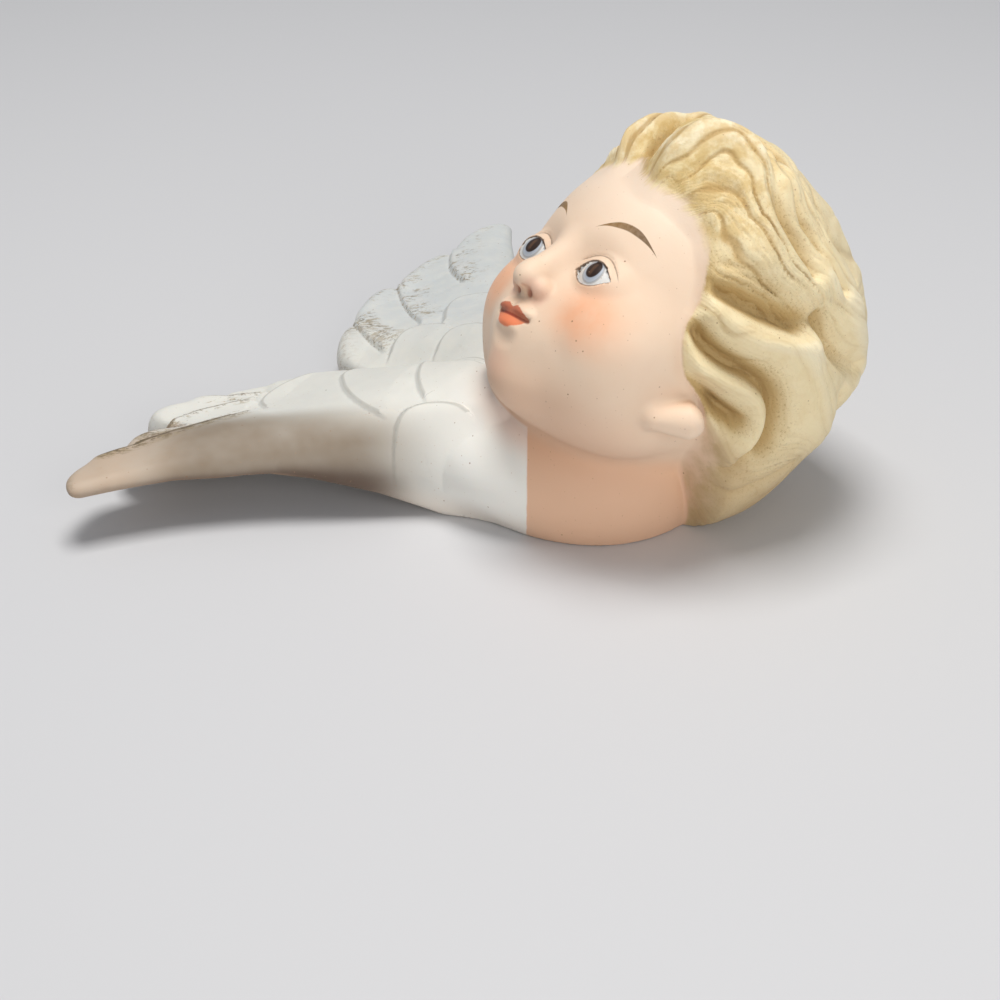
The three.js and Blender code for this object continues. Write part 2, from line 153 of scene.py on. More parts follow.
# Combed lines in the head's own frame (left, up, front), each with its place in the order of the strands
STRANDS = [
    (0, [(-3, 35, 24), (1, 29, 29), (2, 26, 28), (5, 21, 26)]),
    (15, [(12, 21, 24), (15, 24, 27), (17, 27, 28), (18, 30, 25), (21, 31, 23), (24, 31, 20), (27, 29, 18), (30, 26, 15)]),
    (19, [(12, 21, 25), (17, 24, 27), (20, 26, 27), (21, 28, 25), (24, 28, 23), (26, 27, 20), (29, 24, 17)]),
    (23, [(17, 20, 22), (21, 22, 24), (24, 23, 24), (26, 25, 22), (29, 24, 18), (31, 21, 14)]),
    (30, [(20, 18, 20), (22, 19, 20), (27, 17, 21), (29, 14, 19), (31, 12, 17), (33, 12, 12), (34, 13, 8), (35, 14, 3)]),
    (37, [(27, 9, 17), (31, 9, 15), (33, 10, 11), (35, 11, 6), (35, 11, 1), (35, 11, -5), (34, 9, -12)]),
    (43, [(29, 6, 16), (32, 4, 12), (33, 4, 7), (35, 5, 2), (36, 8, -4), (35, 6, -11), (33, 3, -17)]),
    (50, [(30, -1, 12), (31, -2, 9), (32, -2, 5), (34, -1, 0), (35, -1, -5), (35, -1, -11), (34, -4, -16), (31, -8, -22)]),
    (57, [(28, -3, 13), (29, -5, 10), (31, -5, 5), (33, -4, 0), (34, -3, -5), (34, -4, -10), (33, -7, -14), (32, -11, -16)]),
    (63, [(30, -12, 10), (32, -11, 5), (30, -10, -2), (31, -10, -6), (32, -10, -10), (31, -15, -15)]),
    (70, [(26, -23, 3), (30, -20, 1), (28, -19, -6), (27, -21, -12)]),
    (80, [(24, -28, -20), (27, -24, -22), (29, -17, -27), (28, -9, -32)]),
    (12, [(26, 33, 16), (29, 29, 12), (32, 27, 7), (33, 25, 2), (34, 23, -2), (34, 20, -9)]),
    (8, [(24, 37, 13), (27, 34, 9), (30, 31, 5), (31, 30, 1), (32, 27, -4), (32, 24, -12)]),
    (2, [(22, 38, 5), (28, 32, -6), (25, 33, -14), (26, 30, -20)]),
    (22, [(35, 18, -9), (35, 14, -14), (34, 14, -21), (28, 17, -31)]),
    (0, [(0, 42, 10), (4, 44, -5), (6, 38, -25), (6, 24, -38), (4, 8, -46)]),
    (45, [(30, -2, -24), (22, -4, -38), (10, -6, -45)]),
    (72, [(26, -18, -26), (18, -22, -36), (8, -24, -40)]),
    (-16, [(-12, 22, 25), (-19, 29, 20), (-26, 30, 10), (-31, 24, 0), (-31, 18, -14)]),
    (-30, [(-24, 17, 20), (-31, 13, 12), (-34, 12, 2), (-33, 9, -12)]),
    (-45, [(-29, 4, 14), (-33, 3, 6), (-35, 5, -4), (-33, 2, -17), (-24, -2, -36)]),
    (-60, [(-30, -8, 10), (-33, -8, 0), (-33, -8, -12), (-30, -14, -22), (-18, -20, -36)]),
]
# Carved ridges and hollows: height, half width, path
CARVING = [
    (-4.2, 2.1, [(-3, 38, 18), (-2, 33, 26), (1, 29, 29), (3, 25, 28), (6, 20, 27)]),              # parting
    (3.6, 4.2, [(-7, 25.5, 27), (-8, 29, 27), (-7, 34, 23), (-4, 39, 15)]),                          # forelock
    (2.4, 2.4, [(-13, 21, 27), (-13, 25, 26)]),
    (3.0, 4.0, [(8, 23, 28), (11, 31, 26), (18, 36, 20), (25, 34, 12)]),                           # brushed-up wave
    (-0.5, 0.9, [(12, 21, 24), (15, 24, 27), (17, 27, 28), (18, 30, 25), (21, 31, 23), (24, 31, 20), (27, 29, 18), (30, 26, 15)]),
    (-0.5, 0.9, [(12, 21, 25), (17, 24, 27), (20, 26, 27), (21, 28, 25), (24, 28, 23), (26, 27, 20)]),
    (-0.4, 0.9, [(17, 20, 22), (21, 22, 24), (24, 23, 24), (26, 25, 22), (29, 24, 18)]),
    (-1.0, 1.3, [(23, 18, 20), (27, 15, 20), (29, 13, 18), (31, 13, 14), (33, 14, 9), (34, 15, 4)]),
    (-4.3, 3.1, [(29, 8, 18), (31, 8, 15), (33, 9, 11), (35, 10, 6), (35, 11, 1), (35, 12, -4)]),
    (2.3, 3.0, [(29, 5, 16), (32, 3, 12), (33, 3, 7), (35, 4, 2), (36, 7, -4), (35, 10, -9)]),
    (-4.4, 2.9, [(30, -1, 13), (31, -2, 9), (32, -2.5, 5), (34, -2, 0), (35, -1.5, -5), (35, -2, -11), (34, -6, -16), (32, -11, -19)]),
    (2.4, 2.8, [(28, -5, 13), (29, -7, 10), (31, -7, 5), (33, -6, 0), (34, -4.5, -5), (34, -5, -10), (33, -8, -14), (32, -12, -15)]),
    (-4.6, 2.7, [(30, -12, 9), (32, -12, 5), (30, -11, -1), (31, -11, -6), (32, -11, -10)]),
    (1.3, 2.6, [(30, -17, -2), (31, -16, -8), (31, -18, -13)]),
    (-1.2, 1.6, [(32, -12, -17), (31, -16, -18), (29, -21, -18)]),
    (-0.9, 1.3, [(24, -28, -20), (27, -24, -22), (29, -17, -27), (28, -9, -32)]),
    (-2.3, 1.8, [(15, 43, 19), (24, 38, 16), (29, 29, 12), (32, 27, 7), (33, 25, 2), (34, 23, -2)]),
    (-2.0, 1.6, [(12, 47, 14), (19, 43, 12), (24, 37, 13), (27, 34, 9), (30, 31, 5), (31, 30, 1), (32, 27, -4), (32, 24, -12)]),
    (-0.8, 1.2, [(22, 38, 5), (28, 32, -6), (25, 33, -14), (26, 30, -20)]),
    (-2.8, 2.4, [(35, 17, -9), (35, 13, -14), (34, 13, -21), (29, 15, -30)]),
    (2.6, 5.5, [(33, 24, -6), (31, 24, -16), (31, 19, -23), (26, 14, -32)]),
    (2.0, 5.5, [(34, 7, -14), (32, 4, -22), (28, 0, -31)]),
    (-2.0, 3.0, [(-30, 8, 18), (-34, 9, 10), (-35, 11, 0), (-33, 14, -12)]),
    (1.8, 4.0, [(-30, 3, 15), (-34, 3, 6), (-35, 5, -5), (-32, 2, -18)]),
    (-2.4, 3.0, [(-30, -3, 13), (-33, -3, 4), (-35, -3, -7), (-33, -8, -17), (-26, -12, -28)]),
    (1.8, 4.0, [(-30, -10, 8), (-33, -9, -2), (-32, -14, -14), (-26, -19, -26)]),
    (-1.6, 3.0, [(-12, 34, 20), (-22, 34, 10), (-29, 27, 0), (-31, 20, -14), (-26, 14, -30)]),
    (-1.5, 3.0, [(5, 42, -12), (6, 34, -29), (4, 18, -42), (2, 2, -46)]),
    (1.6, 5.0, [(18, 38, -12), (18, 30, -27), (14, 14, -40), (9, -2, -44)]),
    (1.6, 5.0, [(-12, 38, -12), (-12, 30, -29), (-10, 14, -42), (-6, -2, -45)]),
    (-1.6, 2.6, [(29, 8, -28), (22, 2, -38), (12, -6, -44)]),
    (-1.6, 2.6, [(-28, 4, -28), (-20, -2, -38), (-10, -10, -43)]),
]


def on_sphere(pts, spacing=None):
    v = np.array(pts, float)
    v = v / np.linalg.norm(v, axis=1)[:, None] * 36
    if spacing:
        out = []
        for a, b in zip(v[:-1], v[1:]):
            n = max(1, int(round(np.linalg.norm(b - a) / spacing)))
            out += [a + (b - a) * i / n for i in range(n)]
        v = np.array(out + [v[-1]])
    return v


def smooth_path(v, rounds=2):
    for _ in range(rounds):
        w = [v[0]]
        for a, b in zip(v[:-1], v[1:]):
            w += [0.75 * a + 0.25 * b, 0.25 * a + 0.75 * b]
        v = np.array(w + [v[-1]])
    return v / np.linalg.norm(v, axis=1)[:, None] * 36


def hair_table():
    """Relief and strand order over every direction from the head's centre: rows by angle from the front, columns by angle round it."""
    na, nf = ((640, 1280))
    al = (np.arange(na) + 0.5) / na * math.pi
    ph = np.arange(nf) / nf * 2 * math.pi - math.pi
    A, P = np.meshgrid(al, ph, indexing="ij")
    u = np.stack([np.sin(A) * np.cos(P), np.sin(A) * np.sin(P), np.cos(A)], -1).reshape(-1, 3).astype(F4) * 36
    centres, values = [], []
    for psi, pts in STRANDS:
        for c in on_sphere(pts, 5.0):
            centres.append(c)
            values.append(psi)
    C = np.array(centres)
    n = len(C)
    K = np.linalg.norm(C[:, None] - C[None], axis=2)
    M = np.zeros((n + 4, n + 4))
    M[:n, :n] = K + np.eye(n) * -0.6
    M[:n, n] = 1
    M[:n, n + 1:] = C / 36
    M[n:, :n] = M[:n, n:].T
    w = np.linalg.solve(M, np.concatenate([values, np.zeros(4)]))
    psi = np.zeros(len(u), F4)
    relief = np.zeros(len(u), F4)
    Cf, wf = C.astype(F4), w.astype(F4)
    for i in range(0, len(u), 60000):
        b = u[i:i + 60000]
        d2 = (b * b).sum(1)[:, None] + (Cf * Cf).sum(1)[None] - 2 * b @ Cf.T
        psi[i:i + 60000] = np.sqrt(np.maximum(d2, 0)) @ wf[:n] + wf[n] + (b / 36) @ wf[n + 1:]
    for h, wd, pts in CARVING:
        path = smooth_path(on_sphere(pts))
        lo, hi = path.min(0) - 3.2 * wd, path.max(0) + 3.2 * wd
        near = np.all((u > lo) & (u < hi), axis=1)
        b = u[near]
        best = np.full(len(b), 1e9, F4)
        for p0, p1 in zip(path[:-1], path[1:]):
            d = p1 - p0
            t = np.clip(((b - p0) @ d) / (d @ d), 0, 1)
            best = np.minimum(best, ((b - p0 - t[:, None] * d) ** 2).sum(1))
        end = 1.0
        d = np.sqrt(best)
        shape = np.exp(-best / wd ** 2) if h > 0 else 1 / (1 + (d / (0.72 * wd)) ** 2.6)
        relief[near] += (h * shape * step(3.2, 2.2, d / wd) * end).astype(F4)
    # combed strands: broad ones about 5 mm apart and fine ones on them, never quite regular
    x, y, z = u.T / 36
    wob = 1.1 * np.sin(7 * x + 9 * y - 4 * z) + 0.6 * np.sin(15 * y - 11 * z + 6 * x) + 0.3 * np.sin(31 * x - 23 * z)
    q = psi + wob
    lobe = np.abs(np.sin(math.pi * (q + 1.4 * np.sin(q * 0.37 + 2 * z)) / 5.4)) ** 0.7 - 0.66
    fine = np.abs(np.sin(math.pi * (q / 1.7 + 0.5 * np.sin(5 * z + 4 * y)))) - 0.6
    patch = np.clip(0.5 + 0.6 * np.sin(5.3 * x + 4.1 * z + 0.6) * np.sin(6.1 * y - 3.7 * z + 0.4) + 0.35 * np.sin(13 * y + 9 * x), 0, 1)
    upper = step(-0.1, 0.5, y)
    front = step(-0.15, 0.45, z) * upper
    smooth = 1 - 0.75 * step(0.15, -0.35, z) * step(0.75, 0.1, y)
    comb = (0.30 + 0.20 * patch + 0.40 * front) * lobe * (0.4 + 0.6 * smooth) + (0.06 + 0.24 * patch * (0.2 + 0.8 * upper)) * fine * smooth
    relief += comb
    return relief.reshape(na, nf), psi.reshape(na, nf), comb.reshape(na, nf).astype(F4)


def hairline_table():
    """Millimetres inside the hair's edge, over every direction from the head's centre."""
    na, nf = ((340, 680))
    al = (np.arange(na) + 0.5) / na * math.pi
    ph = np.arange(nf) / nf * 2 * math.pi - math.pi
    A, P = np.meshgrid(al, ph, indexing="ij")
    u = np.stack([np.sin(A) * np.cos(P), np.sin(A) * np.sin(P), np.cos(A)], -1).reshape(-1, 3) * 34
    line = on_sphere(HAIRLINE + HAIRLINE[:1]) * 34 / 36
    line = smooth_path(line, 2) * 34 / 36
    best = np.full(len(u), 1e9)
    for p0, p1 in zip(line, np.roll(line, -1, axis=0)):
        d = p1 - p0
        if d @ d < 1e-9:
            continue
        t = np.clip(((u - p0) @ d) / (d @ d), 0, 1)
        best = np.minimum(best, ((u - p0 - t[:, None] * d) ** 2).sum(1))
    # face side: within the line as seen from the front, on a map that keeps the back of the head outermost
    def flat(v):
        n = np.linalg.norm(v, axis=1)
        a = np.arccos(np.clip(v[:, 2] / n, -1, 1))
        m = np.hypot(v[:, 0], v[:, 1]) + 1e-9
        return np.stack([v[:, 0] / m * a, v[:, 1] / m * a], 1)
    U, L = flat(u), flat(line)
    odd = np.zeros(len(u), bool)
    for (x0, y0), (x1, y1) in zip(L, np.roll(L, -1, axis=0)):
        if y0 != y1:
            cross = ((y0 > U[:, 1]) != (y1 > U[:, 1])) & (U[:, 0] < (x1 - x0) * (U[:, 1] - y0) / (y1 - y0) + x0)
            odd ^= cross
    return (np.sqrt(best) * np.where(odd, -1, 1)).reshape(na, nf).astype(F4)


RELIEF, ORDER, COMB = hair_table()
EDGE = hairline_table()


def look_up(table, q):
    na, nf = table.shape
    r = np.sqrt((q * q).sum(-1)) + 1e-6
    a = np.arccos(np.clip(q[:, 2] / r, -1, 1)) / math.pi * na - 0.5
    f = (np.arctan2(q[:, 1], q[:, 0]) + math.pi) / (2 * math.pi) * nf
    a = np.clip(a, 0, na - 1.001)
    i = a.astype(np.int32)
    j = np.floor(f).astype(np.int32)
    u, v = (a - i).astype(F4), (f - j).astype(F4)
    j0, j1 = j % nf, (j + 1) % nf
    return (table[i, j0] * (1 - u) * (1 - v) + table[i + 1, j0] * u * (1 - v) + table[i, j1] * (1 - u) * v + table[i + 1, j1] * u * v)


def inside_hair(q):
    """Above 0 within the hair, in millimetres along the head."""
    return look_up(EDGE, q)


# ------------------------------------------------------------------ steps in the wings' tops
PLAN_FROM, PLAN_CELL = (-112.0, -96.0), 0.3


def plan_tables():
    """Height of the steps over the plan, with the signed distance to the nearest feather's edge and to the nearest covert's."""
    nx, ny = int(130 / PLAN_CELL), int(192 / PLAN_CELL)
    gx = PLAN_FROM[0] + np.arange(nx) * PLAN_CELL
    gy = PLAN_FROM[1] + np.arange(ny) * PLAN_CELL
    rise = np.zeros((nx, ny), F4)
    near = [np.full((nx, ny), 20.0, F4), np.full((nx, ny), 20.0, F4)]
    for kind, side, height, pts in STEPS:
        v = np.array(pts, float)
        for _ in range(2):
            w = [v[0]]
            for a, b in zip(v[:-1], v[1:]):
                w += [0.75 * a + 0.25 * b, 0.25 * a + 0.75 * b]
            v = np.array(w + [v[-1]])
        i0, i1 = np.searchsorted(gx, (v[:, 0].min() - 18, v[:, 0].max() + 18))
        j0, j1 = np.searchsorted(gy, (v[:, 1].min() - 18, v[:, 1].max() + 18))
        X, Y = np.meshgrid(gx[i0:i1], gy[j0:j1], indexing="ij")
        best, sign, along = np.full(X.shape, 1e9), np.ones(X.shape), np.zeros(X.shape)
        length = 0.0
        for a, b in zip(v[:-1], v[1:]):
            dx, dy = b - a
            n = math.hypot(dx, dy)
            t = np.clip(((X - a[0]) * dx + (Y - a[1]) * dy) / (n * n), 0, 1)
            ex, ey = X - a[0] - t * dx, Y - a[1] - t * dy
            d = np.hypot(ex, ey)
            better = d < best - 1e-6
            best = np.where(better, d, best)
            sign = np.where(better, np.where(dx * ey - dy * ex > 0, 1.0, -1.0), sign)
            along = np.where(better, length + t * n, along)
            length += n
        d = best * sign * side
        fade = step(0, 4.0, along) * step(0, 4.0, length - along)
        over, under = (8.0, 6.0) if kind == 0 else (5.0, 3.2)
        up = step(-0.45, 0.45, d)
        share = 0.35 if kind == 0 else 0.5
        h = up * share * np.exp(-np.maximum(d, 0) / over) - (1 - up) * (1 - share) * np.exp(-np.maximum(-d, 0) / under)
        h = h - 0.12 * np.exp(-((d + 0.25) / 0.5) ** 2)
        rise[i0:i1, j0:j1] += fade * height * h
        gap = d + np.where(d >= 0, 1, -1) * (1 - fade) * 6
        old = near[kind][i0:i1, j0:j1]
        near[kind][i0:i1, j0:j1] = np.where(np.abs(gap) < np.abs(old), gap, old)
    return rise, near[0], near[1]


STEP_RISE, FEATHER_LINE, COVERT_LINE = plan_tables()


def in_plan(table, x, y):
    u = np.clip((x - PLAN_FROM[0]) / PLAN_CELL, 0, table.shape[0] - 1.01)
    v = np.clip((y - PLAN_FROM[1]) / PLAN_CELL, 0, table.shape[1] - 1.01)
    i, j = u.astype(np.int32), v.astype(np.int32)
    u, v = u - i, v - j
    return table[i, j] * (1 - u) * (1 - v) + table[i + 1, j] * u * (1 - v) + table[i, j + 1] * (1 - u) * v + table[i + 1, j + 1] * u * v


# ------------------------------------------------------------------ head
def lid_opening(ex, ey):
    """Above 0 in the gap between the lids."""
    e = ey - 0.05 * ex
    k = np.minimum(np.abs(ex) / 5.7, 1.4) ** 2.2
    return np.minimum(3.2 * (1 - k) - e, e + 2.9 * (1 - k))


def head(q0):
    q = (q0 - FACE_MID.astype(F4)) / FACE_SCALE + FACE_MID.astype(F4)
    m = q.copy()
    m[:, 0] = np.abs(q[:, 0])
    s = ell(q, (0, 5, -7), (33.5, 33, 34))
    s = smin(s, ell(q, (0, 11, 4), (29, 22, 28)), 8)
    s = smin(s, ell(q, (0, -8, 6), (28, 26, 27)), 9)
    s = smin(s, ell(m, (14.5, -13, 16.5), (13.5, 12.5, 13)), 7)
    s = smin(s, ell(q, (0, -26, 16), (13, 9, 12)), 8)
    s = smin(s, ell(q, (0, -29, 23), (6.5, 5.5, 6.5)), 6)
    s = smin(s, ell(q, (0, -18.3, 27), (10, 8, 7)), 6)
    s = smin(s, ell(m, (13, -22, 8), (13, 11, 14)), 8)
    s = smax(s, -ell(m, (12.0, -2.0, 37.0), (8.5, 5.5, 6.5)), 6)
    s = smin(s, ell(m, (12.0, -2.8, 23.7), (8.5, 7.0, 8.4)), 1.6)                # lids
    gap = lid_opening(m[:, 0] - 12.0, q[:, 1] + 3.0)
    s = smax(s, np.minimum(gap * 0.8, q[:, 2] - 22), 0.3)
    s = smin(s, ell(m, (12.0, -3.0, 24.3), (7.7, 6.5, 7.4)), 0.25)               # eyeballs
    crease = np.abs(q[:, 1] + 3.0 - 5.1 * (1 - ((m[:, 0] - 12.0) / 7.6) ** 2))
    s = s + 0.28 * np.exp(-(crease / 0.55) ** 2) * step(7.0, 5.0, np.abs(m[:, 0] - 12.2)) * step(20, 24, q[:, 2])
    s = smin(s, cone(q, (0, 2, 29.0), (0, -8, 35.0), 2.2, 3.0), 4)               # nose
    s = smin(s, ell(q, (0, -10.2, 35.8), (3.7, 3.2, 3.5)), 2.0)
    s = smin(s, ell(m, (3.9, -11.2, 33.5), (2.3, 2.1, 2.6)), 1.4)
    s = smax(s, -ell(m, (2.1, -13.3, 36.0), (1.1, 1.0, 1.7)), 0.8)               # nostrils
    s = smax(s, -cone(q, (0, -14.3, 36.2), (0, -16.2, 36.0), 0.9, 0.9), 1.2)     # groove below the nose
    s = smin(s, ell(m, (2.5, -17.4, 33.3), (3.9, 1.7, 2.1)), 1.0)                # upper lip
    s = smin(s, ell(q, (0, -21.0, 32.5), (4.3, 2.0, 2.5)), 1.0)                  # lower lip
    s = smax(s, -cone(m, (0, -19.1, 36.0), (5.6, -18.9, 33.6), 0.65, 0.45), 0.7)  # between the lips
    s = smax(s, -ell(q, (0, -24.6, 35.2), (4.2, 1.6, 2.6)), 2.2)                 # hollow over the chin
    s = s * FACE_SCALE
    m = q0.copy()
    m[:, 0] = np.abs(q0[:, 0])
    s = smin(s, cone(m, (27.0, -20.2, 6.6), (30.2, -16.9, 1.4), 2.5, 3.8), 2.6)  # ear lobes
    h = ell(q0, (0, 8, -8.5), (36, 33, 39.5))
    h = smin(h, ell(q0, (6, 16, 6), (27, 27.5, 27.5)), 7)
    h = smin(h, ell(q0, (2, -9, -19), (29, 29, 27)), 8)
    within = inside_hair(q0)
    run = 4.0 + 6.0 * step(8, 20, q0[:, 1])                                      # the hair swells slowly over the brow
    k = step(-0.6, 1.0, within / run)
    h = s * (1 - k) + h * k - look_up(RELIEF, q0) * step(-0.3, 3.6, within) - (0.7 - 0.4 * step(10, 18, q0[:, 1]) + 0.7 * step(2, 5, q0[:, 0]) * step(15, 19, q0[:, 1])) * step(-0.5, 1.3, within)
    return s, h, within


# ------------------------------------------------------------------ wings
def wing_polar(x, y):
    u = FAN[0] - x
    v = np.abs(y) - FAN[1]
    return np.hypot(u, v), np.degrees(np.arctan2(v, u))


def tip_table(tips):
    """Reach of the outline at each quarter of a degree from -25 to 50."""
    th = np.arange(-25, 50.1, 0.25)
    out = None
    for lobe in tips:
        a = np.array(lobe, float)
        v = np.interp(th, a[:, 0], a[:, 1])
        v = np.where(th < a[0, 0], a[0, 1] - (a[0, 0] - th) * 4.0, np.where(th > a[-1, 0], a[-1, 1] - (th - a[-1, 0]) * 6.0, v))
        soft = np.convolve(np.pad(v, 4, mode="edge"), [0.04, 0.08, 0.14, 0.16, 0.16, 0.16, 0.14, 0.08, 0.04], mode="valid")
        out = soft if out is None else -smin(-out, -soft, 0.5)
    return np.maximum(out, 40.0)


NEAR_REACH, FAR_REACH = tip_table(NEAR_TIPS), tip_table(FAR_TIPS)


def reach(th, y):
    grid = np.arange(-25, 50.1, 0.25)
    w = step(-4, 4, y)
    return np.interp(th, grid, NEAR_REACH) * (1 - w) + np.interp(th, grid, FAR_REACH) * w - 3.0 * np.maximum(-25 - th, 0)


def wing(p, level=False):
    x, y, z = p[:, 0], p[:, 1], p[:, 2]
    r, th = wing_polar(x, y)
    lead = np.interp(r, RING, LEADING_ANGLE)
    t = th / lead
    low, high = np.interp(r, [85, 112], [0.30, 0.58]), np.interp(r, [85, 112], [0.92, 1.0])
    s = np.clip((t - low) / (high - low), 0, 1)
    s = s * s * (3 - 2 * s)
    top = np.interp(r, RING, TOP_INNER) * (1 - s) + np.interp(r, RING, TOP_OUTER) * s
    top = top - np.interp(r, [40, 60, 90, 123], [10, 8, 6, 1.5]) * np.clip((t - 0.72) / 0.28, 0, 1.3) ** 2
    top = top - np.interp(r, [20, 40, 70, 100], [3, 8, 7, 2]) * np.exp(-(y / 8.0) ** 2)
    under = np.interp(r, RING, UNDER_INNER) * (1 - s) + np.interp(r, RING, UNDER_OUTER) * s
    under = np.minimum(under, top - 3.8)
    if level:
        return (z - under) / np.maximum(top - under, 1)
    ends = reach(th, y)
    lean = (reach(th + 0.4, y) - ends) / (0.4 * math.pi / 180 * np.maximum(r, 40))
    edge = smax((th - lead) * (math.pi / 180) * r * 0.97, (r - ends) / np.sqrt(1 + lean * lean), 2.0)
    f = smax((z - top) * 0.9, edge, 3.5)
    f = smax(f, (under - z) * 0.95, 3.2)
    upper = step(0.3, 0.75, (z - under) / np.maximum(top - under, 1))
    return f - upper * in_plan(STEP_RISE, x, y)


def wing_level(p):
    """0 at the wing's underside, 1 at its top."""
    return np.clip(wing(p, level=True), -1, 2)


# ------------------------------------------------------------------ the whole piece
def field(p, parts=False):
    q = to_head(p)
    s, h, within = head(q)
    on_head = h
    body = ell(p, (-2, 0, 8), (27, 28.5, 20))
    body = smin(body, cone(p, HEAD_CENTRE + HEAD.T @ np.array([0, -8, -6.0]), (-2, 0, 10), 20, 22), 6)
    body = smin(body, ell(p, (-16, 0, 12), (30, 33, 17)), 8)
    w = wing(p)
    body = smin(body, w, 6)
    f = smin(on_head, body, 3.6)
    f = np.maximum(f, -p[:, 2])
    hx, hy, hr, hd = NAIL_HOLE
    hole = np.maximum(np.hypot(p[:, 0] - hx, p[:, 1] - hy) - hr, p[:, 2] - hd)
    f = np.maximum(f, -hole)
    if parts:
        return f, dict(skin=s, hair=h, within=within, body=body, wing=w, head=on_head, q=q)
    return f


def facet(res, block=5):
    """Grid through the field, with one corner in each cell that the surface crosses."""
    lo, hi = np.array([-110.0, -94.0, -3.0]), np.array([58.0, 94.0, 98.0])
    n = np.ceil((hi - lo) / res).astype(int)
    n = ((n + block - 1) // block) * block
    cn = n // block
    ax = [lo[i] + (np.arange(cn[i]) + 0.5) * block * res for i in range(3)]
    G = np.stack(np.meshgrid(*ax, indexing="ij"), -1).reshape(-1, 3).astype(F4)
    rough = np.concatenate([field(G[i:i + 200000]) for i in range(0, len(G), 200000)])
    idx = np.argwhere((np.abs(rough) < block * res * 2.2 + 1.5).reshape(cn))
    mark = np.zeros(n + 1, bool)
    for o in np.stack(np.meshgrid(*[np.arange(block + 1)] * 3, indexing="ij"), -1).reshape(-1, 3):
        ii = idx * block + o
        mark[ii[:, 0], ii[:, 1], ii[:, 2]] = True
    ids = np.argwhere(mark)
    out = np.empty(len(ids), F4)
    for i in range(0, len(ids), 300000):
        out[i:i + 300000] = field((lo + ids[i:i + 300000] * res).astype(F4))
    F = np.full(n + 1, np.nan, F4)
    F[ids[:, 0], ids[:, 1], ids[:, 2]] = out
    S, V = F < 0, ~np.isnan(F)
    corners = [(a, b, c) for a in (0, 1) for b in (0, 1) for c in (0, 1)]
    whole, count = np.ones(n, bool), np.zeros(n, np.int8)
    for a, b, c in corners:
        sub = (slice(a, n[0] + a), slice(b, n[1] + b), slice(c, n[2] + c))
        whole &= V[sub]
        count += S[sub]
    ci = np.argwhere(whole & (count > 0) & (count < 8))
    vid = np.full(n, -1, np.int32)
    vid[ci[:, 0], ci[:, 1], ci[:, 2]] = np.arange(len(ci))
    acc, num = np.zeros((len(ci), 3)), np.zeros(len(ci))
    for A in corners:
        for k in range(3):
            if A[k] == 0:
                B = list(A)
                B[k] = 1
                fa = F[ci[:, 0] + A[0], ci[:, 1] + A[1], ci[:, 2] + A[2]]
                fb = F[ci[:, 0] + B[0], ci[:, 1] + B[1], ci[:, 2] + B[2]]
                m = (fa < 0) != (fb < 0)
                t = np.where(m, fa / np.where(m, fa - fb, 1), 0)
                pt = np.repeat(np.array(A, float)[None], len(ci), 0)
                pt[:, k] += t
                acc += pt * m[:, None]
                num += m
    verts = lo + (ci + acc / num[:, None]) * res
    quads = []
    for k in range(3):
        a, b = [(1, 2), (2, 0), (0, 1)][k]
        s0 = [slice(1, n[i]) for i in range(3)]
        s0[k] = slice(0, n[k])
        s1 = [slice(1, n[i]) for i in range(3)]
        s1[k] = slice(1, n[k] + 1)
        f0, f1 = F[tuple(s0)], F[tuple(s1)]
        base = np.ones(3, int)
        base[k] = 0
        e = np.argwhere(((f0 < 0) != (f1 < 0)) & ~np.isnan(f0) & ~np.isnan(f1)) + base
        ea, eb = np.eye(3, dtype=int)[a], np.eye(3, dtype=int)[b]
        q = np.stack([vid[c[:, 0], c[:, 1], c[:, 2]] for c in (e - ea - eb, e - eb, e, e - ea)], 1)
        neg = F[e[:, 0], e[:, 1], e[:, 2]] < 0
        q = np.where(neg[:, None], q, q[:, ::-1])
        quads.append(q[(q >= 0).all(1)])
    return verts, np.concatenate(quads)


def evaluate(v):
    return np.concatenate([field(v[i:i + 200000].astype(F4)) for i in range(0, len(v), 200000)])


def slope(v, h=0.12):
    f = evaluate(v)
    return f, np.stack([(evaluate(v + d) - f) / h for d in np.eye(3) * h], 1)


def onto_surface(v, rounds=2):
    for _ in range(rounds):
        f, g = slope(v)
        v = v - np.clip(f / ((g * g).sum(1) + 1e-6), -0.5, 0.5)[:, None] * g
    return v


def build_mesh(name):
    verts, quads = facet(GRID)
    verts = onto_surface(verts)
    verts[:, 2] = np.maximum(verts[:, 2], 0)
    mesh = bpy.data.meshes.new(name)
    mesh.vertices.add(len(verts))
    mesh.vertices.foreach_set("co", (verts / 1000).astype(F4).ravel())
    mesh.loops.add(4 * len(quads))
    mesh.loops.foreach_set("vertex_index", quads.astype(np.int32).ravel())
    mesh.polygons.add(len(quads))
    mesh.polygons.foreach_set("loop_start", np.arange(0, 4 * len(quads), 4, dtype=np.int32))
    mesh.update(calc_edges=True)
    mesh.validate()
    obj = bpy.data.objects.new(name, mesh)
    bpy.context.scene.collection.objects.link(obj)
    if 2 * len(quads) > MOST_FACES:
        thin = obj.modifiers.new("thin", "DECIMATE")
        thin.decimate_type = "COLLAPSE"
        thin.ratio = MOST_FACES / (2 * len(quads))
        dg = bpy.context.evaluated_depsgraph_get()
        new = bpy.data.meshes.new_from_object(obj.evaluated_get(dg))
        obj.modifiers.clear()
        obj.data = new
        new.name = name
        bpy.data.meshes.remove(mesh)
    print("faces", len(quads), "->", len(obj.data.polygons))
    return obj


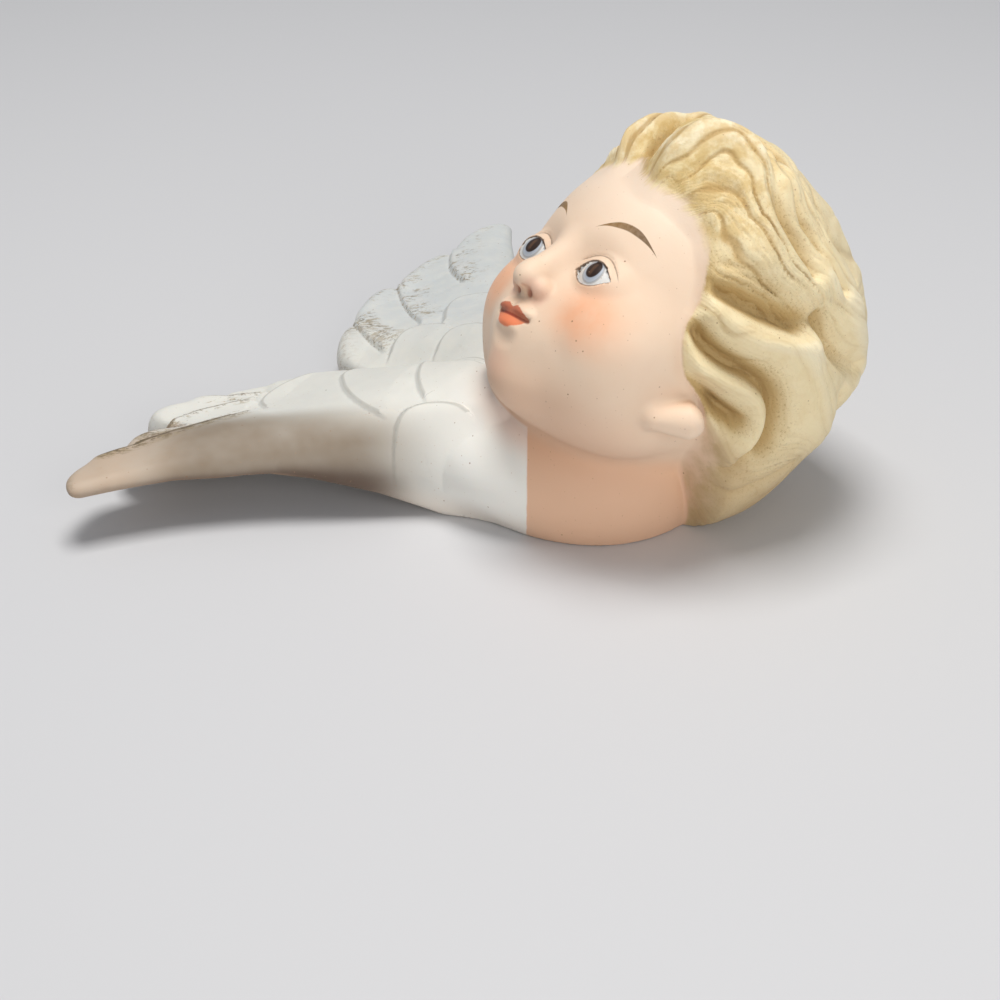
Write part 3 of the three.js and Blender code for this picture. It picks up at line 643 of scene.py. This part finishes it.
piece = build_mesh("cherub_plaque_surface")
mesh = piece.data
co = np.zeros(len(mesh.vertices) * 3, F4)
mesh.vertices.foreach_get("co", co)
V = co.reshape(-1, 3).astype(float) * 1000
_, G = slope(V)
N = G / (np.linalg.norm(G, axis=1)[:, None] + 1e-9)
flat = V[:, 2] < 0.05
N[flat] = (0, 0, -1)


def store(name, values):
    a = mesh.attributes.new(name, "FLOAT", "POINT")
    a.data.foreach_set("value", np.asarray(values, F4))


f, part = field(V.astype(F4), parts=True)
q = part["q"]
r, th = wing_polar(V[:, 0], V[:, 1])
closed_in = np.zeros(len(V))                                  # how far other surfaces close in on a corner
for d, w in ((0.7, 0.45), (1.6, 0.35), (3.5, 0.2)):
    closed_in += w * np.clip((d - evaluate(V + N * d)) / d, 0, 1.2)
# how far the form closes in over 9 mm, for the painted shade on the skin
broad = np.clip((9.0 - evaluate(V + N * 9.0)) / 9.0, 0, 1)
covert = in_plan(COVERT_LINE, V[:, 0], V[:, 1])
feather = in_plan(FEATHER_LINE, V[:, 0], V[:, 1])             # above 0 on the proud side of the nearest feather's edge
tip_gap = reach(th, V[:, 1]) - r
flight = step(56, 66, r)
edge_gap = np.where(feather > -0.5, np.abs(feather), 20.0)
store("hair_in", part["within"])
store("on_head", part["body"] - part["head"])
store("on_wing", np.minimum(part["skin"], 40))
store("strand", look_up(ORDER, q))
store("relief", look_up(RELIEF, q))
store("comb", look_up(COMB, q))
store("closed_in", closed_in)
store("broad", broad)
store("covert_side", covert)
store("covert_gap", np.abs(covert))
store("feather_side", feather)
store("feather_gap", np.abs(feather))
store("level", wing_level(V.astype(F4)))
store("edge_gap", edge_gap)
store("tip_gap", np.where(flight > 0.2, tip_gap, 30.0))
store("fan_r", r)
store("fan_th", th)
for poly_flag in (True,):
    mesh.polygons.foreach_set("use_smooth", np.ones(len(mesh.polygons), bool))
mesh.normals_split_custom_set_from_vertices(N.astype(F4))
mesh.update()


# ------------------------------------------------------------------ material
def rgb(r8, g8, b8):
    return tuple((c / 255 / 12.92) if c / 255 <= 0.04045 else ((c / 255 + 0.055) / 1.055) ** 2.4 for c in (r8, g8, b8)) + (1.0,)


class Val:
    """A number in a shader tree, so that the drawing below reads as plain sums."""
    tree = None

    def __init__(self, socket):
        self.s = socket

    @staticmethod
    def op(kind, *args):
        n = Val.tree.nodes.new("ShaderNodeMath")
        n.operation = kind
        for i, a in enumerate(args):
            if isinstance(a, Val):
                Val.tree.links.new(a.s, n.inputs[i])
            else:
                n.inputs[i].default_value = float(a)
        return Val(n.outputs[0])

    def __add__(self, o): return Val.op("ADD", self, o)
    def __radd__(self, o): return Val.op("ADD", o, self)
    def __sub__(self, o): return Val.op("SUBTRACT", self, o)
    def __rsub__(self, o): return Val.op("SUBTRACT", o, self)
    def __mul__(self, o): return Val.op("MULTIPLY", self, o)
    def __rmul__(self, o): return Val.op("MULTIPLY", o, self)
    def __truediv__(self, o): return Val.op("DIVIDE", self, o)
    def __pow__(self, o): return Val.op("POWER", self, o)
    def __neg__(self): return Val.op("MULTIPLY", self, -1)
    def __abs__(self): return Val.op("ABSOLUTE", self)


def vmin(a, b): return Val.op("MINIMUM", a, b)
def vmax(a, b): return Val.op("MAXIMUM", a, b)
def length2(a, b): return Val.op("SQRT", a * a + b * b)


def ramp(lo, hi, v):
    """0 below lo, 1 above hi, smooth between. lo may be above hi."""
    n = Val.tree.nodes.new("ShaderNodeMapRange")
    n.interpolation_type = "SMOOTHSTEP"
    flip = lo > hi
    n.inputs["From Min"].default_value = min(lo, hi)
    n.inputs["From Max"].default_value = max(lo, hi)
    n.inputs["To Min"].default_value = 1.0 if flip else 0.0
    n.inputs["To Max"].default_value = 0.0 if flip else 1.0
    Val.tree.links.new(v.s, n.inputs["Value"])
    return Val(n.outputs["Result"])


def attr(name):
    n = Val.tree.nodes.new("ShaderNodeAttribute")
    n.attribute_name = name
    return Val(n.outputs["Fac"])


def vec(kind, *args):
    n = Val.tree.nodes.new("ShaderNodeVectorMath")
    n.operation = kind
    for i, a in enumerate(args):
        if isinstance(a, tuple):
            n.inputs[i].default_value = a[:3]
        else:
            Val.tree.links.new(a, n.inputs[i])
    return n


def join(x, y, z):
    n = Val.tree.nodes.new("ShaderNodeCombineXYZ")
    for i, a in enumerate((x, y, z)):
        if isinstance(a, Val):
            Val.tree.links.new(a.s, n.inputs[i])
        else:
            n.inputs[i].default_value = float(a)
    return n.outputs[0]


def noise(vector, scale, detail=3.0, rough=0.55, distort=0.0):
    n = Val.tree.nodes.new("ShaderNodeTexNoise")
    n.inputs["Scale"].default_value = scale
    n.inputs["Detail"].default_value = detail
    n.inputs["Roughness"].default_value = rough
    n.inputs["Distortion"].default_value = distort
    Val.tree.links.new(vector, n.inputs["Vector"])
    return Val(n.outputs[0])


def specks(vector, scale, share, radius):
    """Round specks in some of the cells of a random pattern."""
    n = Val.tree.nodes.new("ShaderNodeTexVoronoi")
    n.inputs["Scale"].default_value = scale
    n.inputs["Randomness"].default_value = 1.0
    Val.tree.links.new(vector, n.inputs["Vector"])
    pick = Val.tree.nodes.new("ShaderNodeSeparateColor")
    Val.tree.links.new(n.outputs["Color"], pick.inputs[0])
    chosen = ramp(share + 0.01, share - 0.01, Val(pick.outputs[0]))
    size = Val(pick.outputs[1]) * 0.7 + 0.4
    return chosen * ramp(1.0, 0.55, Val(n.outputs["Distance"]) / (size * (radius * scale)))


def mix(a, b, t):
    """Colour a, with b over it by t."""
    n = Val.tree.nodes.new("ShaderNodeMix")
    n.data_type = "RGBA"
    for sock, v in ((n.inputs[6], a), (n.inputs[7], b)):
        if isinstance(v, tuple):
            sock.default_value = v
        else:
            Val.tree.links.new(v, sock)
    if isinstance(t, Val):
        t = Val.op("MINIMUM", Val.op("MAXIMUM", t, 0), 1)
        Val.tree.links.new(t.s, n.inputs[0])
    else:
        n.inputs[0].default_value = t
    return n.outputs[2]


def painted_bisque():
    mat = bpy.data.materials.new("painted_bisque")
    mat.use_nodes = True
    tree = mat.node_tree
    Val.tree = tree
    shader = tree.nodes["Principled BSDF"]
    here = tree.nodes.new("ShaderNodeTexCoord").outputs["Object"]
    mm = vec("SCALE", here)
    mm.inputs["Scale"].default_value = 1000.0
    mm = mm.outputs[0]
    xyz = tree.nodes.new("ShaderNodeSeparateXYZ")
    tree.links.new(mm, xyz.inputs[0])
    X, Y, Z = (Val(o) for o in xyz.outputs)

    # face measures: left, up and front of the head, on the face's own scale
    rel = vec("SUBTRACT", mm, tuple(HEAD_CENTRE)).outputs[0]
    a, b, c = (Val(vec("DOT_PRODUCT", rel, tuple(HEAD[i])).outputs["Value"]) for i in range(3))
    fx = (a - FACE_MID[0]) / FACE_SCALE + FACE_MID[0]
    fy = (b - FACE_MID[1]) / FACE_SCALE + FACE_MID[1]
    fz = (c - FACE_MID[2]) / FACE_SCALE + FACE_MID[2]
    mx = abs(fx)
    hair_in, on_head, shut, broad_shade = attr("hair_in"), attr("on_head"), attr("closed_in"), attr("broad")
    fan_r, fan_th, strand = attr("fan_r"), attr("fan_th"), attr("strand")
    coarse = noise(mm, 0.055, 3, 0.6)
    medium = noise(mm, 0.22, 4, 0.6)
    fine = noise(mm, 1.1, 3, 0.6)
    grain = noise(mm, 3.6, 2, 0.6)

    head_mask = ramp(-0.5, 0.6, on_head)
    brow_side = ramp(12, 18, fy)
    comb = attr("comb")
    streak = noise(join(strand * 1.0, X * 0.05 + Z * 0.03, Y * 0.05), 1.1, 3, 0.6)
    soft_edge = ramp(-1.9, 0.5, hair_in + (streak - 0.5) * 2.4 + comb * 1.2)
    nape_side = ramp(-13, -19, fy)
    hard_edge = ramp(-0.25, 0.45, hair_in + (fine - 0.5) * 0.8)
    hard_edge = hard_edge * (1 - nape_side) + ramp(-1.6, 2.4, hair_in + (medium - 0.5) * 5.0) * nape_side
    hair_mask = (soft_edge * brow_side + hard_edge * (1 - brow_side)) * ramp(-1.5, 0.4, on_head)
    facing = ramp(14, 20, fz)

    # bare white body and wings
    white = mix(rgb(219, 218, 211), rgb(205, 208, 207), ramp(0, 30, Y))
    white = mix(white, rgb(229, 227, 218), (medium - 0.42) * 1.2)
    # painted light: the white brightened on the near side of the body, below the head
    white = mix(white, rgb(243, 241, 234), ramp(-38, -14, X) * ramp(16, 0, Y) * 0.8)
    # the wing's leading side: a warm beige tint, darkened further as painted shade
    lead_tint_and_shade = ramp(19, 28, fan_th) * ramp(38, 62, fan_r) * ramp(28, 18, Z)
    white = mix(white, mix(rgb(134, 117, 97), rgb(190, 168, 146), ramp(94, 114, fan_r)), lead_tint_and_shade * (0.90 + (coarse - 0.5) * 0.6) * ramp(20, -10, Y))
    # painted shade along the lower part of the wing's side
    low_side_shade = ramp(0.95, 0.3, attr("level")) * ramp(42, 62, fan_r) * ramp(14, 26, fan_th)
    white = mix(white, rgb(104, 84, 70), low_side_shade * (0.80 + (coarse - 0.5) * 0.6) * (1 - ramp(96, 114, fan_r) * 0.6))
    # painted shade in the undercut low on the leading side, towards the body
    hollow = ramp(18, 30, fan_th) * ramp(46, 60, fan_r) * ramp(88, 64, fan_r) * ramp(1.0, 0.5, attr("level"))
    white = mix(white, rgb(88, 70, 58), hollow * ramp(20, -10, Y) * 0.65)
    white = mix(white, rgb(214, 190, 170), ramp(9, 0.5, Z) * 0.35)

    # flesh
    flesh = mix(rgb(238, 213, 188), rgb(231, 199, 170), (coarse - 0.35) * 1.3)
    flesh = mix(flesh, rgb(240, 220, 200), ramp(4, 20, fy) * facing * 0.5)
    neck_tone = ramp(2.0, -2.5, on_head)
    flesh = mix(flesh, rgb(234, 190, 156), neck_tone * 0.75)
    flesh = mix(flesh, rgb(218, 176, 146), ramp(-22, -34, fy) * 0.6)
    # painted shade on the skin where the form closes in, as under the jaw
    flesh = mix(flesh, rgb(208, 164, 132), broad_shade * 0.45)

    # the paint line round the neck, with a soft pink shade along the jaw
    line_x = X + 22.0 - abs(Y) * 0.657 + (medium - 0.5) * 0.7
    neck = vmax(ramp(-0.22, 0.22, line_x), head_mask)
    shade = ramp(9.0, 1.0, attr("on_wing")) * ramp(-34, -8, X)
    body = mix(white, rgb(229, 190, 168), shade * 0.62)
    colour = mix(body, flesh, neck)

    # cheeks
    cx, cy = mx - 17.0, fy + 12.0
    blush = ramp(12.5, 1.5, length2(cx, cy * 1.1)) * ramp(8, 16, fz)
    colour = mix(colour, rgb(244, 164, 114), blush * (0.58 + (medium - 0.5) * 0.5) * head_mask)
    colour = mix(colour, rgb(232, 176, 150), ramp(5, 1, length2(mx * 0.8, fy + 29.5)) * 0.3 * facing)
    colour = mix(colour, rgb(222, 160, 136), ramp(3.6, 1.2, length2(mx - 4.4, fy + 12.6)) * 0.35 * facing)

    # eyes
    ex, ey = mx - 12.0, fy + 3.0
    tilt = ey - ex * 0.05
    k = Val.op("MINIMUM", abs(ex) / 5.7, 1.4) ** 2.2
    upper = 3.2 * (1 - k) - tilt
    lower = tilt + 2.9 * (1 - k)
    gap = vmin(upper, lower)
    opening = ramp(-0.05, 0.18, gap) * facing
    colour = mix(colour, rgb(226, 224, 220), opening)
    gaze = fx - Val.op("SIGN", fx) * 12.2 - 0.35
    iris_d = length2(gaze, ey - 0.55)
    pupil_d = length2(gaze * 1.06, ey - 1.05)
    iris = mix(rgb(164, 172, 184), rgb(200, 204, 208), ramp(1.4, 3.0, iris_d) * 0.7)
    colour = mix(colour, iris, ramp(3.0, 2.6, iris_d) * opening)
    colour = mix(colour, rgb(104, 92, 84), ramp(0.34, 0.12, abs(iris_d - 2.8)) * opening * 0.35)
    dark = mix(rgb(46, 28, 18), rgb(104, 74, 52), ramp(0.75, 0.2, abs(gaze + 0.15)) * ramp(1.9, 0.9, pupil_d) * 0.55)
    colour = mix(colour, dark, ramp(2.25, 1.95, pupil_d) * opening)
    line_end = ramp(6.6, 5.2, abs(ex - 0.5))
    uneven = 0.82 + (noise(mm, 0.9, 2) - 0.5) * 0.7
    lid = ramp(0.36, 0.12, abs(upper + 0.05)) * ramp(5.95, 5.3, abs(ex)) * facing
    colour = mix(colour, rgb(66, 46, 34), lid * uneven)
    low = ramp(0.24, 0.07, abs(lower + 0.02)) * ramp(5.9, 5.0, abs(ex)) * facing
    colour = mix(colour, rgb(96, 70, 54), low * uneven * 0.85)
    fold = abs(ey - 5.0 * (1 - (ex / 7.8) * (ex / 7.8)))
    colour = mix(colour, rgb(112, 86, 66), ramp(0.26, 0.08, fold) * line_end * facing * 0.75 * uneven)

    # brows: thin at the nose, full in the middle, drawn out to a point
    bx = mx - 13.0
    arc = 9.9 - bx * bx * 0.052 + bx * 0.05
    half = 0.78 * ramp(5.6, 11.5, mx) * ramp(21.0, 14.5, mx) + 0.04
    brow = ramp(1.15, 0.8, abs(fy - arc) / half) * ramp(5.4, 6.4, mx) * ramp(21.0, 20.0, mx) * facing
    colour = mix(colour, mix(rgb(134, 98, 44), rgb(104, 74, 34), ramp(9, 17, mx)), brow * (0.9 + (fine - 0.5) * 0.4))

    # lips
    ly = fy + 19.1
    bow = 2.5 * (1 - (mx / 6.5) ** 2.0) - 0.75 * ramp(1.9, 0.0, mx)
    upper_lip = vmin(bow - ly, ly + 0.1)
    lower_lip = vmin(0.1 - ly, ly + 3.1 * (1 - (mx / 5.5) ** 2.0))
    wob = (fine - 0.5) * 0.5
    colour = mix(colour, rgb(190, 92, 54), ramp(-0.15, 0.25, upper_lip + wob) * ramp(6.3, 5.6, mx) * facing * 0.88)
    colour = mix(colour, rgb(230, 116, 64), ramp(-0.15, 0.3, lower_lip + wob) * ramp(5.6, 5.0, mx) * facing * 0.88)
    colour = mix(colour, rgb(136, 44, 28), ramp(0.5, 0.1, abs(ly + 0.05)) * ramp(6.2, 5.0, mx) * facing * 0.85)
    nostril = ramp(1.15, 0.55, length2(mx - 2.1, (fy + 13.2) * 1.1)) * facing
    colour = mix(colour, rgb(176, 100, 76), nostril * 0.75)

    # hair: cream where it is rubbed, ochre in the combing, olive dirt in the hollows; painted light towards the back of
    # the head and painted shade low down and at the nape
    relief = attr("relief")
    pits = noise(mm, 1.7, 4, 0.75)
    hair = mix(rgb(236, 215, 165), rgb(224, 197, 138), ramp(0.42, 0.62, medium) * 0.6)
    # cream on the rubbed ridges, and painted light towards the back of the head (+X)
    hair = mix(hair, rgb(246, 236, 208), vmax(ramp(0.6, 2.6, relief + (coarse - 0.5) * 2.0), ramp(10, 34, X) * 0.5) * 0.7)
    hair = mix(hair, rgb(208, 174, 106), ramp(6, 22, fz) * ramp(4, 20, fy) * 0.6 * ramp(0.35, 0.6, medium))
    hair = mix(hair, rgb(178, 142, 82), ramp(0.02, -0.38, comb + (streak - 0.5) * 0.5) * (0.3 + ramp(0, 18, fz) * 0.4))
    hair = mix(hair, rgb(192, 160, 100), ramp(0.2, -2.6, relief + (medium - 0.5) * 2.2) * 0.8)
    hair = mix(hair, rgb(172, 142, 90), ramp(-1.6, -4.6, relief + (pits - 0.5) * 3.2) * 0.55)
    hair = mix(hair, rgb(164, 132, 80), ramp(0.12, 0.5, shut + (fine - 0.5) * 0.2) * 0.5)
    hair = mix(hair, rgb(156, 122, 66), ramp(0.54, 0.64, pits) * ramp(1.4, -1.5, relief) * 0.5)
    # painted shade: the hair darker low down and at the nape
    hair = mix(hair, rgb(174, 141, 96), vmax(ramp(32, 8, Z), nape_side * ramp(16, 3, hair_in)) * (0.3 + coarse * 0.6))
    colour = mix(colour, hair, hair_mask)

    # feather edges: worn gilt and brown specks, with a dark line of painted shade beside each proud edge
    far = ramp(-5, 20, Y)
    flight = ramp(62, 72, fan_r) * ramp(3.0, 0.0, on_head)
    top_side = ramp(30, 26, fan_th)
    edge_gap, tip_gap, edge_line = attr("edge_gap"), attr("tip_gap"), attr("feather_side")
    slant = vec("MULTIPLY", join(X + Y * 0.5, Y - X * 0.5, Z), (0.5, 1.0, 1.0)).outputs[0]
    flecks = noise(slant, 0.62, 5, 0.72)
    first = ramp(19, 24, fan_th) * (1 - far)
    near_edge = ramp(3.0, 0.9, abs(edge_line) / (1 + first * 1.4)) * ramp(-0.3, 0.0, edge_line) * ramp(6.4, 5.4, attr("feather_gap")) * (1 - far)
    low_tip = ramp(8, 4, fan_th) * ramp(74, 82, fan_r) * far
    patchy = vmax(ramp(0.43, 0.54, noise(mm, 0.13, 2, 0.6)), low_tip * 0.9)
    wide = vmax(ramp(11, 2, edge_gap), ramp(9, 1, tip_gap) * 0.75) * far * patchy
    rim = ramp(3.0, 0.5, tip_gap) * (1 - far) * 0.5
    gilt = ramp(0.525, 0.625, flecks + (fine - 0.5) * 0.3 + first * 0.08 + low_tip * 0.08) * vmax(vmax(near_edge, rim), wide) * flight
    old = gilt
    white_zone = 1 - neck
    colour = mix(colour, rgb(172, 152, 116), old * white_zone * 0.7)
    grey = ramp(0.55, 0.64, noise(slant, 0.95, 5, 0.75) + first * 0.06 + low_tip * 0.06) * vmax(near_edge, vmax(rim * 0.7, wide)) * flight
    colour = mix(colour, rgb(108, 92, 66), grey * white_zone * 0.85)
    # painted shade: a dark line on each feather's proud edge, where it steps down to the next
    step_shade_line = ramp(0.40, 0.12, abs(edge_line / (1 + first * 1.4) - 0.7)) * ramp(3.0, 2.4, attr("feather_gap")) * flight * (0.35 + first * 0.25 + ramp(0.42, 0.56, noise(mm, 0.35, 4, 0.75)) * 0.4) * (1 - far * 0.88)
    colour = mix(colour, rgb(104, 90, 70), step_shade_line * white_zone * 0.85)
    # painted shade: a grey line along each covert's edge, where it steps down
    covert_shade_line = ramp(0.55, 0.12, abs(attr("covert_side") - 0.5)) * ramp(2.2, 1.6, attr("covert_gap"))
    colour = mix(colour, rgb(166, 164, 156), covert_shade_line * white_zone * (0.3 + medium * 0.4))

    # darker in the creases, where other surfaces close in, and brown specks all over
    colour = mix(colour, rgb(170, 140, 112), ramp(0.22, 0.7, shut) * (1 - hair_mask) * (1 - opening) * 0.42)
    tiny = specks(mm, 0.42, 0.36, 0.27)
    rare = specks(mm, 0.11, 0.16, 0.42) * ramp(0.42, 0.5, fine)
    face_share = ramp(0.35, 0.65, medium)
    colour = mix(colour, rgb(140, 100, 68), tiny * (0.30 + face_share * 0.5))
    colour = mix(colour, rgb(98, 72, 44), rare * 0.75)
    tint = specks(mm, 1.1, 0.3, 0.15)
    colour = mix(colour, rgb(176, 138, 106), tint * ramp(0.40, 0.66, coarse + medium * 0.3) * 0.6)
    tree.links.new(colour, shader.inputs["Base Color"])

    # matt unglazed body, a little smoother where it is painted or handled
    rough = 0.60 + (medium - 0.5) * 0.16 - opening * 0.22 + hair_mask * 0.04
    tree.links.new(rough.s, shader.inputs["Roughness"])
    tree.links.new((old * white_zone * 0.35).s, shader.inputs["Metallic"])
    shader.inputs["Subsurface Weight"].default_value = 0.12
    shader.inputs["Subsurface Radius"].default_value = (1.0, 0.7, 0.5)
    shader.inputs["Subsurface Scale"].default_value = 0.0016
    shader.inputs["Specular IOR Level"].default_value = 0.38
    shader.inputs["Sheen Weight"].default_value = 0.04

    # fine relief: pores of the bisque, pitted hair and the finest strands
    strands = Val.op("SINE", (strand + (medium - 0.5) * 1.6) * 7.2)
    height = grain * 0.016 + fine * 0.020 + hair_mask * (strands * 0.022 * (0.3 + coarse) + noise(mm, 1.9, 4, 0.7) * 0.12) - rare * 0.03
    bump = tree.nodes.new("ShaderNodeBump")
    bump.inputs["Strength"].default_value = 0.85
    bump.inputs["Distance"].default_value = 0.001
    tree.links.new(height.s, bump.inputs["Height"])
    tree.links.new(bump.outputs[0], shader.inputs["Normal"])
    return mat


mesh.materials.clear()
mesh.materials.append(painted_bisque())
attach(piece, "root")
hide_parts("cherub_plaque")


# ------------------------------------------------------------------ floor, lights and camera
def plain(name, colour, roughness):
    m = bpy.data.materials.new(name)
    m.use_nodes = True
    b = m.node_tree.nodes["Principled BSDF"]
    b.inputs["Base Color"].default_value = colour
    b.inputs["Roughness"].default_value = roughness
    return m


fm = bpy.data.meshes.new("studio_floor")
fm.from_pydata([(-4, -4, -0.0002), (4, -4, -0.0002), (4, 4, -0.0002), (-4, 4, -0.0002)], [], [(0, 1, 2, 3)])
floor = bpy.data.objects.new("studio_floor", fm)
bpy.context.scene.collection.objects.link(floor)
fm.materials.append(plain("floor", rgb(206, 206, 208), 0.7))

world = bpy.data.worlds.new("studio")
bpy.context.scene.world = world
world.use_nodes = True
world.node_tree.nodes["Background"].inputs[0].default_value = rgb(226, 230, 236)
world.node_tree.nodes["Background"].inputs[1].default_value = 0.34


def lamp(name, place, target, size, power, colour):
    d = bpy.data.lights.new(name, "AREA")
    d.shape = "RECTANGLE"
    d.size, d.size_y = size
    d.energy = power
    d.color = colour[:3]
    o = bpy.data.objects.new(name, d)
    bpy.context.scene.collection.objects.link(o)
    o.location = place
    o.rotation_euler = (Vector(target) - Vector(place)).to_track_quat("-Z", "Y").to_euler()


lamp("key", (-0.06, 0.02, 0.94), (-0.02, 0, 0.03), (0.42, 0.42), 7.0, (1.0, 0.985, 0.96))
lamp("side", (0.58, -0.42, 0.30), (-0.02, 0, 0.03), (0.5, 0.5), 2.3, (1.0, 0.98, 0.95))

cam = bpy.data.cameras.new("camera")
cam.sensor_width = 36.0
cam.lens = 18.0 / math.tan(math.radians(15.0))
cam.clip_start = 0.01
camera = bpy.data.objects.new("camera", cam)
bpy.context.scene.collection.objects.link(camera)
pitch, turn = math.radians(32.0), math.radians(34.0)
camera.location = (0.1876, -0.3221, 0.2291)
ahead = Vector((-math.sin(turn) * math.cos(pitch), math.cos(turn) * math.cos(pitch), -math.sin(pitch)))
camera.rotation_euler = ahead.to_track_quat("-Z", "Y").to_euler()
bpy.context.scene.camera = camera
bpy.context.scene.view_settings.view_transform = "Standard"
